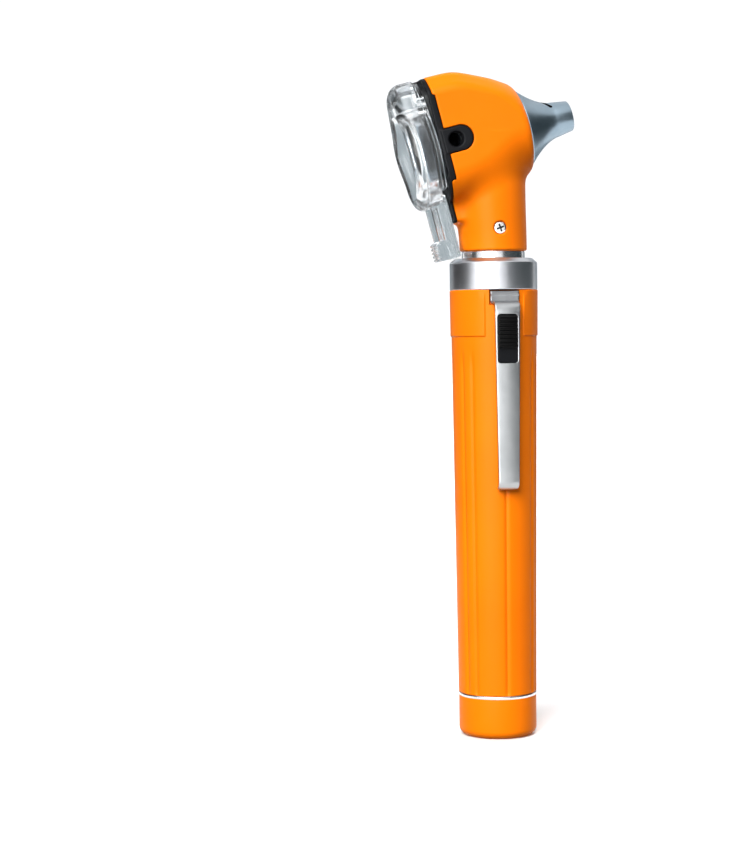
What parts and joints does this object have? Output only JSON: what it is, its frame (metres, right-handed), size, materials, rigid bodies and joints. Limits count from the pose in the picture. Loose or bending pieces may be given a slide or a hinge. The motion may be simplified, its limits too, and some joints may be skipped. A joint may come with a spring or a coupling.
{
  "type": "otoscope",
  "caption": "Pocket otoscope: tilted head with bright cone tip, swivelling clear magnifier, slide switch on a sprung pocket clip, slim battery handle.",
  "frame": {"origin": "centre of the flat bottom of the end cap, on the handle's axis", "axes": "+Z along the handle towards the head, +X the way the speculum cone points, -Y the side with the switch and the air port"},
  "size_m": [0.0465, 0.0248, 0.1614],
  "materials": {
    "orange_plastic": "satin moulded",
    "black_plastic": "fine satin",
    "satin_chrome": "satin",
    "bright_metal": "polished",
    "spring_steel": "drawn wire",
    "brass": "turned",
    "cell_jacket": "printed sleeve",
    "rubber": "matt",
    "lamp_glass": "clear",
    "optical_fibre": "drawn",
    "clear_acrylic": "clear, polished",
    "lens_acrylic": "clear, polished"
  },
  "bodies": {
    "handle": {"handle_body": "orange_plastic", "liner_tube": "bright_metal", "top_collar": "satin_chrome", "contact_insulator": "black_plastic", "battery_lower": "cell_jacket", "battery_upper": "cell_jacket", "contact_spring": "spring_steel"},
    "clip": {"clip": "bright_metal", "switch_base": "black_plastic"},
    "slider": {"switch_slider": "black_plastic", "switch_contact": "brass"},
    "plunger": {"contact_pin": "brass"},
    "cap_carrier": {"battery_spring": "spring_steel"},
    "cap": {"cap_shell": "orange_plastic", "cap_plug": "bright_metal", "cap_seal": "rubber"},
    "head_carrier": {"bulb_base": "brass", "bulb_glass": "lamp_glass"},
    "head": {"head_shell": "orange_plastic", "inner_body": "black_plastic", "neck_tube": "satin_chrome", "lamp_socket": "black_plastic", "speculum_cone": "satin_chrome", "instrument_tube": "black_plastic", "fiber_ring": "optical_fibre", "fiber_bundle": "optical_fibre", "head_screw": "bright_metal", "pivot_pin": "bright_metal"},
    "window": {"window_frame": "clear_acrylic", "lens": "lens_acrylic", "pivot_washer": "spring_steel"}
  },
  "joints": [
    {"name": "clip_flex", "type": "hinge", "parent": "handle", "child": "clip", "pos_m": [0.00052, -0.00994, 0.1089], "axis": [-0.9986, -0.0523, 0], "range_deg": [0, 3], "stiffness_Nm_per_rad": 8},
    {"name": "switch_slide", "type": "slide", "parent": "clip", "child": "slider", "axis": [0, 0, -1], "range_m": [0, 0.0034]},
    {"name": "contact_plunge", "type": "slide", "parent": "handle", "child": "plunger", "axis": [0, 0, -1], "range_m": [0, 0.0008], "stiffness_N_per_m": 1200, "deforming": ["contact_spring"]},
    {"name": "cap_drop", "type": "slide", "parent": "handle", "child": "cap_carrier", "axis": [0, 0, -1], "range_m": [0, 0.00601]},
    {"name": "cap_turn", "type": "hinge", "parent": "cap_carrier", "child": "cap", "pos_m": [0, 0, 0], "axis": [0, 0, -1], "range_deg": [0, 1440]},
    {"name": "head_lift", "type": "slide", "parent": "handle", "child": "head_carrier", "axis": [0, 0, 1], "range_m": [0, 0.00401]},
    {"name": "head_turn", "type": "hinge", "parent": "head_carrier", "child": "head", "pos_m": [0, 0, 0.1172], "axis": [0, 0, 1], "range_deg": [0, 1440]},
    {"name": "window_swivel", "type": "hinge", "parent": "head", "child": "window", "pos_m": [-0.0198, 0, 0.15786], "axis": [0.9681, 0, 0.2504], "range_deg": [-80, 80]}
  ],
  "couplings": [
    {"joint": "cap_drop", "follows": "cap_turn", "m_per_rad": 0.00023873},
    {"joint": "head_lift", "follows": "head_turn", "m_per_rad": 0.00015915}
  ]
}
